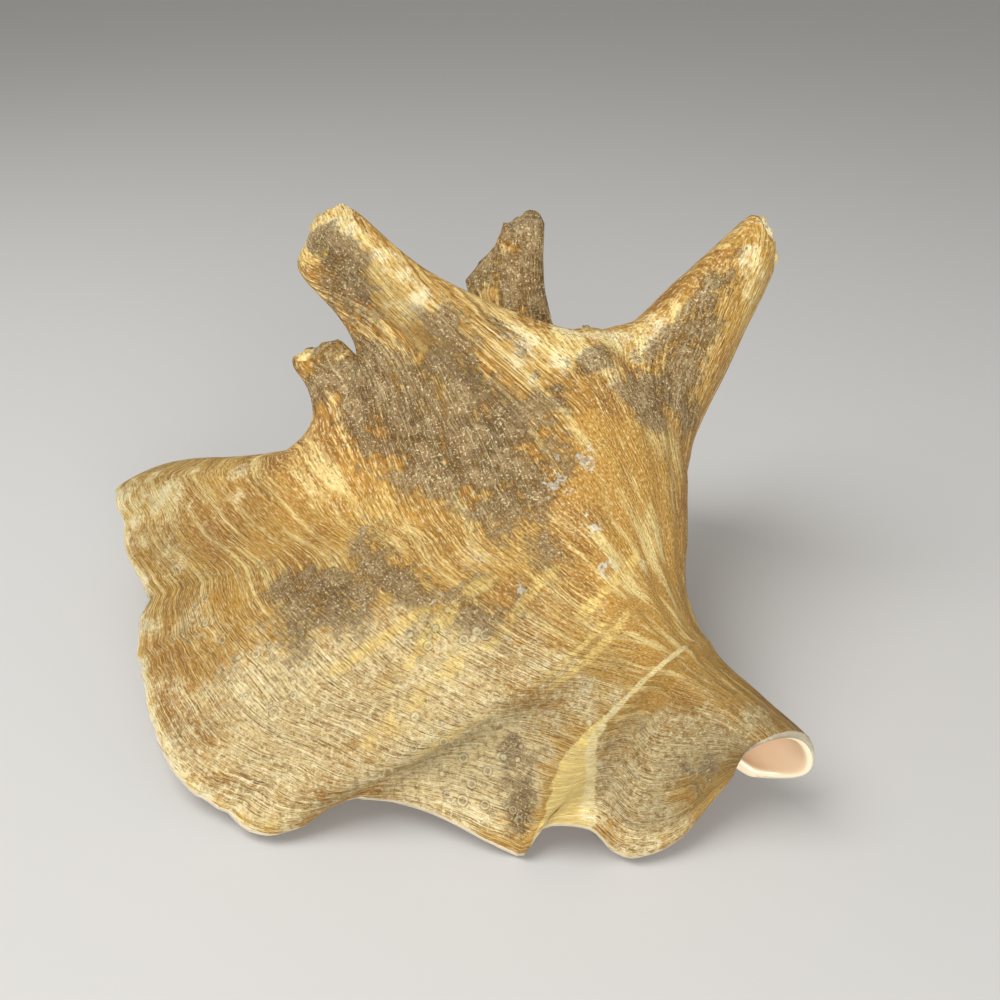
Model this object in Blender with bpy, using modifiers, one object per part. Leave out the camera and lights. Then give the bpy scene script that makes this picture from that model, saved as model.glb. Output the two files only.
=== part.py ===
"""Queen conch shell, lying on its aperture with the dorsal side up. Metres, +Z up.

The shell is a coil that widens from the apex to the flared lip. Its outer surface is a sheet
over two growth coordinates: turn, the angle grown about the coil axis in degrees, and across,
0 at the suture and 1 at the canal rim. The sheet is given a wall, filled in its old whorls and
closed into one solid. The shell frame has x toward the lip, y toward the back of the shell and
z along the coil axis toward the apex, in millimetres; the last step lays it on the floor.
"""
import bpy
import bmesh
import numpy as np
from mathutils import Matrix

# Coil, millimetres and degrees
SHOULDER_RADIUS = 50.0      # distance of the shoulder from the axis at turn 0, the middle of the back
GROWTH_PER_TURN = 1.75      # how much larger each whorl is than the one before
APEX_HEIGHT = 196.0         # apex above the tip of the canal
TURN_START = -1900.0        # first turn that is large enough to see
TURN_LIP = 110.0            # the lip edge
TURN_FLARE_BODY = 28.0      # where the lip starts to leave the coil, on the body
TURN_FLARE_SHOULDER = 52.0  # and above the shoulder
TURN_FILLED = -125.0        # whorls older than this are solid

# Section of a whorl, as fractions of the shoulder radius: distance from the axis, height above the shoulder
SECTION = np.array([
    (0.575, 0.40), (0.70, 0.27), (0.85, 0.125), (0.955, 0.01), (1.0, -0.12), (0.985, -0.32),
    (0.915, -0.62), (0.79, -1.02), (0.635, -1.42), (0.50, -1.78)])
SHOULDER_POINT = 4          # row of SECTION that is the shoulder
SECTION_SHARE = 0.58        # share of the across coordinate that the section takes; the rest is the neck

# Siphonal canal, millimetres
CANAL_RADIUS = 14.5
CANAL_GROWTH = 1.32
CANAL_SPOUT = (-125.0, 55.0, 5.0)   # turn, half width and length of the longer side of the canal's end
PILLAR_RISE = 60.0          # how far short of the canal tip the older pillar ends
PILLAR_TURNS = (-310.0, -205.0)
# Centre line of the neck: height, shift toward the lip, shift toward the back
NECK_LINE = np.array([
    (-12, -17, -6), (0, -12.5, -4.5), (15, -4.5, -3), (35, 4, -3), (55, 6.5, -2), (80, 3, -1), (110, 0, 0)],
    float)

# Lip edge from the suture round to the canal: across, then x, y, z in the shell frame
LIP_EDGE = np.array([
    (0.00, 40, -16, 166), (0.06, 70, -26, 180), (0.12, 105, -33, 192), (0.17, 133, -33, 202),
    (0.21, 152, -32, 205), (0.245, 165, -30, 196), (0.28, 166, -30, 178), (0.315, 165, -30, 160),
    (0.36, 161, -29, 139), (0.41, 168, -27, 112), (0.45, 167, -26, 92), (0.495, 164, -26, 68),
    (0.54, 151, -26, 50), (0.58, 139, -26.5, 34), (0.60, 131, -26, 33), (0.635, 114, -23, 36),
    (0.665, 100, -21, 31), (0.695, 86, -21, 21), (0.72, 73, -22.5, 8), (0.735, 67, -23, 2.5),
    (0.755, 59, -16, 6), (0.785, 46, -15, 1), (0.81, 41, -20, -7), (0.85, 31.5, -20.5, -10.5),
    (0.89, 20.5, -19, -9.5), (0.93, 10, -15, -5), (0.965, 3, -11.5, -2), (1.00, 0, -9, -0.5)], float)

WALL = 4.0                  # thickness of the shell wall

# Big spines: turn, radius at the foot, waist and tip, then the tip in the shell frame
TALL_SPINES = [
    (72, 12, 8.5, 7.5, (81, 19, 175)),
    (38, 34, 16.5, 11.5, (73, 78, 190)),
    (-74, 36, 25, 13.5, (-91.5, 51, 171.5)),
    (-350, 10.5, 6.2, 7.2, (-3, 62, 196)),
    (-334, 8, 4.6, 3.5, (22, 45, 186))]
# Spines set out by rule: turn, foot, tip, reach from the axis and rise over the shoulder radius
RULE_SPINES = [
    (-122, 17, 8, 1.75, 0.30), (-170, 17, 8, 2.13, 0.20), (-218, 15, 7, 1.75, 0.35),
    (-262, 13, 6, 1.60, 0.40), (-300, 11, 5, 1.35, 0.30), (-404, 8, 4, 1.20, 0.05),
    (-440, 9, 4, 1.5, 0.40), (-485, 8, 4, 1.5, 0.40), (-530, 8, 3.5, 1.5, 0.40), (-575, 7, 3, 1.5, 0.40),
    (-620, 6, 3, 1.5, 0.40)]
WAIST = 0.55                # waist of a spine set out by rule, as a share of its foot
SPINE_SPREAD = 1.2          # the skin round a spine is gathered from this many foot radii
SPINE_STATIONS = np.array([0, 0.2, 0.3, 0.65, 0.85, 1.0])
SPINE_RISE = np.array([1, 0.99, 0.95, 0.42, 0.08, 0])

# Folds of the last growth, in millimetres toward the back: middle across, half width, height, turns it fades in over
FOLDS = [
    (0.772, 0.016, 2.4, -80, 20),
    (0.728, 0.009, -2.0, 45, 85),
    (0.814, 0.013, -1.8, 10, 60),
    (0.560, 0.030, 1.6, 30, 95),
    (0.385, 0.022, 2.0, 40, 100),
    (0.470, 0.020, -1.5, 50, 100),
    (0.300, 0.020, -1.4, 60, 105)]
SWELL_TURNS, SWELL_HEIGHT = 17.0, 0.3   # low growth swellings
BLISTER = (-8.0, 0.215, 5.0, 2.2)       # turn, across, radius and height of the low blister on the back
# Hump where the flare leaves the biggest spine: turn, across, half widths, then its shift
HUMP = (70.0, 0.165, 12.0, 0.075, (1.0, 18.0, 3.0))

# How it lies: directions of the shell frame's axes in the room (right, away, up) and the drop to the floor
AXIS_ROOM = (-0.334, 0.896, 0.292)
BACK_ROOM = (0.021, -0.302, 0.953)
CENTRE_ROOM = (0.09405, -0.0857, 0.0285)

# Mesh
TURN_STEP = 4.0
ACROSS_STEPS = 110
AXIS_STEPS = 12
WALL_OVERLAP = 60.0         # turns by which the hollow wall runs on into the filled whorls
VOXEL = 1.7
TRIANGLES = 9400


def smooth_curve(x, y, q):
    """Smooth curve through the points (x, y), read at q; y may have several columns."""
    y = np.asarray(y, float)
    wide = (-1,) + (1,) * (y.ndim - 1)
    gap = np.diff(x).astype(float)
    slope = np.diff(y, axis=0) / gap.reshape(wide)
    tangent = np.zeros_like(y)
    tangent[0] = slope[0]
    tangent[-1] = slope[-1]
    share = (gap[:-1] / (gap[:-1] + gap[1:])).reshape(wide)
    tangent[1:-1] = slope[:-1] * (1 - share) + slope[1:] * share
    i = np.clip(np.searchsorted(x, q, side='right') - 1, 0, len(x) - 2)
    u = ((q - x[i]) / gap[i])
    u = u.reshape(u.shape + (1,) * (y.ndim - 1))
    g = gap[i].reshape(u.shape)
    return ((2 * u**3 - 3 * u**2 + 1) * y[i] + (u**3 - 2 * u**2 + u) * g * tangent[i]
            + (3 * u**2 - 2 * u**3) * y[i + 1] + (u**3 - u**2) * g * tangent[i + 1])


def ease(a, b, x):
    t = np.clip((x - a) / (b - a), 0, 1)
    return t * t * (3 - 2 * t)


SECTION_ACROSS = np.r_[0, np.cumsum(np.hypot(*np.diff(SECTION, axis=0).T))]
SECTION_ACROSS = SECTION_SHARE * SECTION_ACROSS / SECTION_ACROSS[-1]
SHOULDER_ACROSS = SECTION_ACROSS[SHOULDER_POINT]


def coil(turn, across):
    """Point of the plain coil, before the lip flares: the section, then the neck down to the canal."""
    radius = SHOULDER_RADIUS * GROWTH_PER_TURN ** (turn / 360)
    section = smooth_curve(SECTION_ACROSS, SECTION, np.minimum(across, SECTION_SHARE))
    r = radius * section[..., 0]
    h = APEX_HEIGHT - radius + radius * section[..., 1]
    spout = CANAL_SPOUT[2] * np.exp(-((turn - CANAL_SPOUT[0]) / CANAL_SPOUT[1]) ** 2)
    end_h = PILLAR_RISE * (1 - ease(*PILLAR_TURNS, turn)) - spout
    end_r = CANAL_RADIUS * CANAL_GROWTH ** ((turn - TURN_LIP) / 360)
    v = np.clip((across - SECTION_SHARE) / (1 - SECTION_SHARE), 0, 1)
    length = np.hypot(end_r - r, end_h - h)
    lead = (SECTION[-1] - SECTION[-2]) / np.hypot(*(SECTION[-1] - SECTION[-2]))
    start, stay = 2 * v**3 - 3 * v**2 + 1, 3 * v**2 - 2 * v**3
    bend_in, bend_out = v**3 - 2 * v**2 + v, v**3 - v**2
    r = start * r + stay * end_r + bend_in * length * lead[0]
    h = start * h + stay * end_h + (bend_in * lead[1] - bend_out) * length
    a = np.radians(turn)
    line = smooth_curve(NECK_LINE[:, 0], NECK_LINE[:, 1:], np.clip(h, -12, 110))
    return np.stack([r * np.sin(a) + line[..., 0], r * np.cos(a) + line[..., 1], h], -1)


def flare_turn(across):
    """Turn at which the lip leaves the coil."""
    return TURN_FLARE_BODY + (TURN_FLARE_SHOULDER - TURN_FLARE_BODY) * (1 - ease(0.08, 0.42, across))


def lip(turn, across):
    """Point of the flare: a cubic from the coil to the lip edge."""
    start = flare_turn(across)
    step = 0.01
    root = coil(start, across)
    leave = (coil(start + step, across) - root) / step * (TURN_LIP - start)[..., None]
    edge = smooth_curve(LIP_EDGE[:, 0], LIP_EDGE[:, 1:], across)
    chord = edge - root
    reach = np.linalg.norm(chord, axis=-1, keepdims=True)
    speed = np.linalg.norm(leave, axis=-1, keepdims=True)
    leave = leave * np.clip(1.15 * reach / np.maximum(speed, 1e-6), 0.4, 3.0)
    arrive = chord + np.array([0, -0.25, 0]) * reach
    u = ((turn - start) / (TURN_LIP - start))[..., None]
    return ((2 * u**3 - 3 * u**2 + 1) * root + (u**3 - 2 * u**2 + u) * leave
            + (3 * u**2 - 2 * u**3) * edge + (u**3 - u**2) * arrive)


def smooth_skin(turn, across):
    """Point of the outer surface without its spines."""
    start = flare_turn(across)
    point = coil(np.minimum(turn, start), across)
    flared = turn > start
    if flared.any():
        point[flared] = lip(turn[flared], across[flared])
    return point


def fold(turn, across):
    """Height of the folds and swellings over the smooth skin."""
    height = SWELL_HEIGHT * np.sin(2 * np.pi * turn / SWELL_TURNS) * ease(-0.02, 0.15, across)
    height = height * (1 - ease(0.85, 1.0, across))
    for middle, half, tall, begin, end in FOLDS:
        height = height + tall * ease(begin, end, turn) * np.exp(-((across - middle) / half) ** 2)
    away = np.hypot((turn - BLISTER[0]) * 0.85, (across - BLISTER[1]) * 240) / BLISTER[2]
    return height + BLISTER[3] * np.exp(-away ** 2)


def outward(turn, across):
    """Unit direction out of the smooth skin."""
    along = smooth_skin(turn + 0.4, across) - smooth_skin(turn - 0.4, across)
    over = smooth_skin(turn, np.clip(across + 0.002, 0, 1)) - smooth_skin(turn, np.clip(across - 0.002, 0, 1))
    n = np.cross(along, over)
    return n / np.maximum(np.linalg.norm(n, axis=-1, keepdims=True), 1e-9)


def hump(turn, across):
    """Shift of the skin by the hump at the flank of the biggest spine."""
    at, row, half_turn, half_row, shift = HUMP
    away = ((turn - at) / half_turn) ** 2 + ((across - row) / half_row) ** 2
    return np.exp(-away)[..., None] * np.array(shift)


def one_point(turn, across):
    return smooth_skin(np.array([float(turn)]), np.array([float(across)]))[0]


def all_spines():
    """Every spine as turn, radius at the foot, waist and tip, and its tip."""
    spines = list(TALL_SPINES)
    for turn, foot, tip, reach, rise in RULE_SPINES:
        radius = SHOULDER_RADIUS * GROWTH_PER_TURN ** (turn / 360)
        a = np.radians(turn)
        top = (reach * radius * np.sin(a), reach * radius * np.cos(a),
               APEX_HEIGHT - radius + rise * radius)
        spines.append((turn, foot, WAIST * foot, tip, top))
    return spines


def skin(turn, across):
    """Point of the outer surface with its spines drawn out of the shoulder."""
    turn = turn.copy()
    across = across.copy()
    lift = np.zeros(turn.shape + (3,))
    taken = np.zeros(turn.shape)
    for at, foot, waist, tip, top in all_spines():
        centre = one_point(at, SHOULDER_ACROSS)
        along = np.linalg.norm(one_point(at + 0.5, SHOULDER_ACROSS) - one_point(at - 0.5, SHOULDER_ACROSS))
        over = np.linalg.norm(one_point(at, SHOULDER_ACROSS + 0.005)
                              - one_point(at, SHOULDER_ACROSS - 0.005)) / 0.01
        spread = SPINE_SPREAD * foot
        over = np.where(across < SHOULDER_ACROSS, max(over, spread / SHOULDER_ACROSS), over)
        away = np.hypot((turn - at) * along, (across - SHOULDER_ACROSS) * over)
        near = away < spread
        if not near.any():
            continue
        x = np.clip(away / spread, 0, 1)
        ring = np.array([0, 0.86 * tip, tip, waist, 0.92 * foot, spread])
        kept = smooth_curve(SPINE_STATIONS, ring, x)
        rise = smooth_curve(SPINE_STATIONS, SPINE_RISE, x) * (1 - taken)
        taken = np.where(near, np.maximum(taken, rise), taken)
        gather = np.where(away > 1e-6, kept / np.maximum(away, 1e-6), 0.86 * tip / (0.2 * spread))
        gather = 1 + (gather - 1) * (1 - taken + rise)
        turn = np.where(near, at + (turn - at) * gather, turn)
        across = np.where(near, SHOULDER_ACROSS + (across - SHOULDER_ACROSS) * gather, across)
        lift += np.where(near[..., None], rise[..., None] * (np.array(top, float) - centre), 0)
    bulge = hump(turn, across) + outward(turn, across) * fold(turn, across)[..., None]
    return smooth_skin(turn, across) + lift + bulge


def room_matrix():
    """From the shell frame in millimetres to the room in metres."""
    axis = np.array(AXIS_ROOM) / np.linalg.norm(AXIS_ROOM)
    back = np.array(BACK_ROOM) - np.dot(BACK_ROOM, axis) * axis
    back = back / np.linalg.norm(back)
    side = np.cross(back, axis)
    m = np.eye(4)
    m[:3, 0] = side * 0.001
    m[:3, 1] = back * 0.001
    m[:3, 2] = axis * 0.001
    m[:3, 3] = CENTRE_ROOM
    return Matrix(m.tolist())


def read_points(ob):
    flat = np.empty(len(ob.data.vertices) * 3)
    ob.data.vertices.foreach_get('co', flat)
    return flat.reshape(-1, 3)


def face_outward(ob):
    bpy.context.view_layer.objects.active = ob
    bpy.ops.object.mode_set(mode='EDIT')
    bpy.ops.mesh.select_all(action='SELECT')
    bpy.ops.mesh.normals_make_consistent(inside=False)
    bpy.ops.object.mode_set(mode='OBJECT')


def grid_object(name, columns, rows):
    """A flat grid whose points are read back as the two growth coordinates 0..1."""
    bpy.ops.mesh.primitive_grid_add(x_subdivisions=columns, y_subdivisions=rows, size=1)
    ob = bpy.context.object
    ob.name = name
    flat = read_points(ob) + 0.5
    return ob, flat[:, 0], flat[:, 1]


def set_points(ob, points):
    ob.data.vertices.foreach_set('co', points.ravel())
    ob.data.update()


def wall_sheet():
    """The coiled wall, open only at the lip and the canal: spiny outside, smooth inside."""
    first = TURN_FILLED - WALL_OVERLAP
    columns = int((TURN_LIP - first) / TURN_STEP)
    ob = grid_object('wall', columns, ACROSS_STEPS)[0]
    bpy.ops.object.mode_set(mode='EDIT')
    bpy.ops.mesh.select_all(action='SELECT')
    bpy.ops.mesh.extrude_region_move(TRANSFORM_OT_translate={'value': (0, 0, 1)})
    bpy.ops.object.mode_set(mode='OBJECT')
    flat = read_points(ob)
    turn = first + (flat[:, 0] + 0.5) * (TURN_LIP - first)
    across = flat[:, 1] + 0.5
    inside = flat[:, 2] > 0.5
    point = skin(turn, across)
    depth = WALL * outward(turn[inside], across[inside])
    point[inside] = smooth_skin(turn[inside], across[inside]) - depth
    set_points(ob, point)
    face_outward(ob)
    return ob


def old_whorls():
    """The filled older whorls: the same skin closed back along the axis."""
    columns = int((TURN_FILLED - TURN_START) / TURN_STEP)
    ob, u, v = grid_object('core', columns, ACROSS_STEPS + AXIS_STEPS)
    turn = TURN_START + u * (TURN_FILLED - TURN_START)
    on_skin = ACROSS_STEPS / (ACROSS_STEPS + AXIS_STEPS)
    across = np.clip(v / on_skin, 0, 1)
    point = skin(turn, across)
    back = np.clip((v - on_skin) / (1 - on_skin), 0, 1)[:, None]
    top = coil(turn, np.zeros_like(turn))
    foot = coil(turn, np.ones_like(turn))
    axis = foot * (1 - back) + top * back
    pull = (1 - np.abs(2 * back - 1)) * np.array([1, 1, 0])
    closing = axis * (1 - pull)
    point = np.where(back > 0, closing, point)
    set_points(ob, point)
    bpy.ops.object.mode_set(mode='EDIT')
    bpy.ops.mesh.select_all(action='SELECT')
    bpy.ops.mesh.remove_doubles(threshold=0.01)
    bpy.ops.mesh.fill_holes(sides=0)
    bpy.ops.object.mode_set(mode='OBJECT')
    face_outward(ob)
    return ob


def join(objects):
    bpy.ops.object.select_all(action='DESELECT')
    for ob in objects:
        ob.select_set(True)
    bpy.context.view_layer.objects.active = objects[0]
    bpy.ops.object.join()
    return bpy.context.object


def keep_largest(ob):
    """Drop the closed pockets that are left inside."""
    bm = bmesh.new()
    bm.from_mesh(ob.data)
    left = set(bm.verts)
    islands = []
    while left:
        seed = left.pop()
        island = {seed}
        front = [seed]
        while front:
            for edge in front.pop().link_edges:
                for v in edge.verts:
                    if v in left:
                        left.discard(v)
                        island.add(v)
                        front.append(v)
        islands.append(island)
    islands.sort(key=len)
    for island in islands[:-1]:
        bmesh.ops.delete(bm, geom=list(island), context='VERTS')
    bm.to_mesh(ob.data)
    bm.free()


def shell_solid():
    """Wall and old whorls closed into one solid of modest facets."""
    ob = join([wall_sheet(), old_whorls()])
    skin_over = ob.modifiers.new('close', 'REMESH')
    skin_over.mode = 'VOXEL'
    skin_over.voxel_size = VOXEL
    bpy.ops.object.modifier_apply(modifier=skin_over.name)
    keep_largest(ob)
    even = ob.modifiers.new('even', 'SMOOTH')
    even.factor = 0.5
    even.iterations = 3
    bpy.ops.object.modifier_apply(modifier=even.name)
    fewer = ob.modifiers.new('fewer', 'DECIMATE')
    fewer.ratio = TRIANGLES / (2 * len(ob.data.polygons))
    bpy.ops.object.modifier_apply(modifier=fewer.name)
    ob.data.transform(room_matrix())
    return ob


def shell_material():
    mat = bpy.data.materials.new('shell')
    mat.use_nodes = True
    bsdf = mat.node_tree.nodes['Principled BSDF']
    bsdf.inputs['Base Color'].default_value = (0.50, 0.36, 0.20, 1)
    bsdf.inputs['Roughness'].default_value = 0.7
    return mat


def main():
    for old in list(bpy.data.objects):
        bpy.data.objects.remove(old, do_unlink=True)
    ob = shell_solid()
    ob.name = 'shell'
    ob.data.name = 'shell'
    ob.data.materials.clear()
    ob.data.materials.append(shell_material())
    home = bpy.data.collections.new('queen_conch_shell')
    bpy.context.scene.collection.children.link(home)
    for c in list(ob.users_collection):
        c.objects.unlink(ob)
    home.objects.link(ob)


main()
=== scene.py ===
"""Looks of the queen conch shell: its fine skin, growth lines, crust and glazed mouth, on a plain floor."""
import math

import bpy
import bmesh
import numpy as np
from mathutils import Matrix, Vector


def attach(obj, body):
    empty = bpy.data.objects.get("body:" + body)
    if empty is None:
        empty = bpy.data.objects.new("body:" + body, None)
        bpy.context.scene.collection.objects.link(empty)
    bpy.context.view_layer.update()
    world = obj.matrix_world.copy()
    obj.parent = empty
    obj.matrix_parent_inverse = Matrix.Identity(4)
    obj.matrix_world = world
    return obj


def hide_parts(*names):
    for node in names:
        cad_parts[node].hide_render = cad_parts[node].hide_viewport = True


bl_info = {
    "name": "Queen Conch Shell",
    "version": (1, 0, 0),
    "blender": (4, 5, 0),
    "location": "3D View > Sidebar > Conch",
    "description": "Builds a weathered queen conch shell around its packed solid, with a plain stage",
    "category": "Add Mesh",
}

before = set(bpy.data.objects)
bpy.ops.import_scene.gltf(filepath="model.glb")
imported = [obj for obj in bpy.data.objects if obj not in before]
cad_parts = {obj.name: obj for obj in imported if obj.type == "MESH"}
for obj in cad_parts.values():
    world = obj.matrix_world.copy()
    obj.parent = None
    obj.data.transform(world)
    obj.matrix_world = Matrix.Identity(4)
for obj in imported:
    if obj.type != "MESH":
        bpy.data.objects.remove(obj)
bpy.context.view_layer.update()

# Form of the coil, the same as the solid's: millimetres and degrees
SHOULDER_RADIUS = 50.0      # distance of the shoulder from the axis at turn 0, the middle of the back
GROWTH_PER_TURN = 1.75      # how much larger each whorl is than the one before
APEX_HEIGHT = 196.0         # apex above the tip of the canal
TURN_START = -1900.0        # first turn that is large enough to see
TURN_LIP = 110.0            # the lip edge
TURN_FLARE_BODY = 28.0      # where the lip starts to leave the coil, on the body
TURN_FLARE_SHOULDER = 52.0  # and above the shoulder

# Section of a whorl, as fractions of the shoulder radius: distance from the axis, height above the shoulder
SECTION = np.array([
    (0.575, 0.40), (0.70, 0.27), (0.85, 0.125), (0.955, 0.01), (1.0, -0.12), (0.985, -0.32),
    (0.915, -0.62), (0.79, -1.02), (0.635, -1.42), (0.50, -1.78)])
SHOULDER_POINT = 4          # row of SECTION that is the shoulder
SECTION_SHARE = 0.58        # share of the across coordinate that the section takes; the rest is the neck

# Siphonal canal, millimetres
CANAL_RADIUS = 14.5
CANAL_GROWTH = 1.32
CANAL_SPOUT = (-125.0, 55.0, 5.0)   # turn, half width and length of the longer side of the canal's end
PILLAR_RISE = 60.0          # how far short of the canal tip the older pillar ends
PILLAR_TURNS = (-310.0, -205.0)
# Centre line of the neck: height, shift toward the lip, shift toward the back
NECK_LINE = np.array([
    (-12, -17, -6), (0, -12.5, -4.5), (15, -4.5, -3), (35, 4, -3), (55, 6.5, -2), (80, 3, -1), (110, 0, 0)],
    float)

# Lip edge from the suture round to the canal: across, then x, y, z in the shell frame
LIP_EDGE = np.array([
    (0.00, 40, -16, 166), (0.06, 70, -26, 180), (0.12, 105, -33, 192), (0.17, 133, -33, 202),
    (0.21, 152, -32, 205), (0.245, 165, -30, 196), (0.28, 166, -30, 178), (0.315, 165, -30, 160),
    (0.36, 161, -29, 139), (0.41, 168, -27, 112), (0.45, 167, -26, 92), (0.495, 164, -26, 68),
    (0.54, 151, -26, 50), (0.58, 139, -26.5, 34), (0.60, 131, -26, 33), (0.635, 114, -23, 36),
    (0.665, 100, -21, 31), (0.695, 86, -21, 21), (0.72, 73, -22.5, 8), (0.735, 67, -23, 2.5),
    (0.755, 59, -16, 6), (0.785, 46, -15, 1), (0.81, 41, -20, -7), (0.85, 31.5, -20.5, -10.5),
    (0.89, 20.5, -19, -9.5), (0.93, 10, -15, -5), (0.965, 3, -11.5, -2), (1.00, 0, -9, -0.5)], float)

NOTCH_ROWS = (14, 15, 19, 20)   # rows of LIP_EDGE that make its two notches
NOTCH_TURNS = (84.0, 108.0)     # turns over which the notches come into the lip
NOTCH_THIN = (0.742, 0.032, 0.8)    # where the wall is thinner: middle across, half width, share lost

# Big spines: turn, radius at the foot, waist and tip, then the tip in the shell frame
TALL_SPINES = [
    (72, 12, 8.5, 7.5, (81, 19, 175)),
    (38, 34, 16.5, 11.5, (73, 78, 190)),
    (-74, 36, 25, 13.5, (-91.5, 51, 171.5)),
    (-350, 10.5, 6.2, 7.2, (-3, 62, 196)),
    (-334, 8, 4.6, 3.5, (22, 45, 186))]
# Spines set out by rule: turn, foot, tip, reach from the axis and rise over the shoulder radius
RULE_SPINES = [
    (-122, 17, 8, 1.75, 0.30), (-170, 17, 8, 2.13, 0.20), (-218, 15, 7, 1.75, 0.35),
    (-262, 13, 6, 1.60, 0.40), (-300, 11, 5, 1.35, 0.30), (-404, 8, 4, 1.20, 0.05),
    (-440, 9, 4, 1.5, 0.40), (-485, 8, 4, 1.5, 0.40), (-530, 8, 3.5, 1.5, 0.40), (-575, 7, 3, 1.5, 0.40),
    (-620, 6, 3, 1.5, 0.40)]
WAIST = 0.55                # waist of a spine set out by rule, as a share of its foot
SPINE_SPREAD = 1.2          # the skin round a spine is gathered from this many foot radii
SPINE_STATIONS = np.array([0, 0.2, 0.3, 0.65, 0.85, 1.0])
SPINE_RISE = np.array([1, 0.99, 0.95, 0.42, 0.08, 0])

# Folds of the last growth: middle across, half width, height in millimetres, turns it fades in over
FOLDS = [
    (0.772, 0.016, 2.4, -80, 20),
    (0.814, 0.013, -1.8, 10, 60),
    (0.385, 0.022, 2.0, 40, 100),
    (0.470, 0.020, -1.5, 50, 100),
    (0.300, 0.020, -1.4, 60, 105)]
SWELL_TURNS, SWELL_HEIGHT = 17.0, 0.3   # low growth swellings
GROOVE_DEPTH, GROOVE_HALF = 1.5, 0.007  # groove beside the notch: millimetres deep, half width across
BLISTER = (-8.0, 0.215, 5.0, 2.2)       # turn, across, radius and height of the low blister on the back
# Hump where the flare leaves the biggest spine: turn, across, half widths, then its shift
HUMP = (70.0, 0.165, 12.0, 0.075, (1.0, 18.0, 3.0))

# How it lies: directions of the shell frame's axes in the room (right, away, up) and where its origin is
AXIS_ROOM = (-0.334, 0.896, 0.292)
BACK_ROOM = (0.021, -0.302, 0.953)
CENTRE_ROOM = (0.09405, -0.0857, 0.0285)
FRONT_ROOM = np.array([0.05, -0.857, 0.515])    # the side whose finishes are listed; the rest is set by rule

# Mesh of the looks
TURN_OPEN = -420.0          # the wall is hollow from here on; older whorls are filled
OUTER_COLUMNS = 350
INNER_STRIDE = 5            # the smooth inside has one column for so many of the outside
ACROSS_ROWS = 184
OLD_COLUMNS = 235
OLD_ROWS = 52
AXIS_ROWS = 6
INSIDE_FOLLOWS = 0.85       # how far the inside follows the folds of the outside

# Random fields over the outside: size of the lumps and height in millimetres, seed
CLOUDS = ((30, 0.5, 11), (13, 0.5, 12))         # no height of their own: where the back is crusted or dull
WANDER = ((22, 0.8, 21),)                       # how the lamellae waver
LAMELLAE = ((3.4, 0.09, 22), (7.0, 0.14, 23))
SWELLS = ((19, 0.40, 24), (8, 0.20, 25))
LUMPS = ((2.6, 0.30, 26), (5.0, 0.34, 27))      # in the crust
CHIPS = ((3.6, 1.6, 28), (6, 1.8, 29))          # at the tips of the spines
FUZZ = ((1.6, 0.7, 30),)                        # on crusted spines
EDGE_BITES = ((9, 1.0, 31), (23, 0.9, 32))      # along the lip edge, in degrees of growth
LUMPS_CLEAN = 0.12          # share of the lumps where there is no crust
CRUMB_HEIGHT = 0.5          # of the chalky crumbs, millimetres
CHIP_LOSS = 0.6             # what the spine tips have lost on the whole, millimetres
SPINE_TIP = (0.94, 0.985)   # shares of a spine's height where its pale, chipped tip begins and is full
SPINE_CRUST = (0.05, 0.35)  # and where its crust does
RIDGE_HALF = 0.0075         # half width of the pale ridge, across
AMBER_SIDE = (0.018, 0.016)     # amber strip beside the ridge: its middle from the ridge, half width
CRUST_SIDE = (0.006, 0.008)     # crusted strip beside the groove: its middle from the groove, half width

# Noises of the material along the growth: lumps in 100 mm along and across, detail, roughness
GROWTH_NOISES = (
    (75.0, 2.6, 4.0, 0.65), (160.0, 7.0, 3.0, 0.65), (250.0, 60.0, 3.0, 0.7), (18.0, 2.5, 3.0, 0.6))
# The same in any direction: lumps in a metre, detail, roughness
ROOM_NOISES = ((30.0, 4.0, 0.6), (120.0, 4.0, 0.7), (620.0, 3.0, 0.7), (1300.0, 2.0, 0.6))
SCAR_CELLS = 230.0          # ring scars: cells in a metre
FINE_RELIEF = 0.0018        # full height of the bump in the material, metres

# The groove beside the notch and the near side of the yellow panel in it: turn, across
GROOVE = np.array([(60, 0.690), (82, 0.701), (94, 0.711), (103, 0.721), (110, 0.730)])
PANEL = np.array([(50, 0.722), (60, 0.716), (68, 0.715), (81, 0.723), (94, 0.733), (110, 0.740)])

# Worn yellow bars from turn and across to turn and across, with their half width; then the pale ridge
BARS = [(49, 0.449, 69, 0.513, 0.010), (58, 0.521, 80, 0.559, 0.011), (29, 0.616, 52, 0.621, 0.011),
        (38, 0.482, 51, 0.521, 0.008), (6, 0.549, 32, 0.551, 0.009), (60, 0.455, 74, 0.480, 0.007),
        (36, 0.585, 50, 0.592, 0.007), (66, 0.590, 78, 0.602, 0.006)]
RIDGE = np.array([
    (-20, 0.762), (3, 0.758), (26, 0.750), (36, 0.738), (45, 0.731), (55, 0.726), (64, 0.731), (81, 0.756),
    (96, 0.772), (110, 0.786)])

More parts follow.
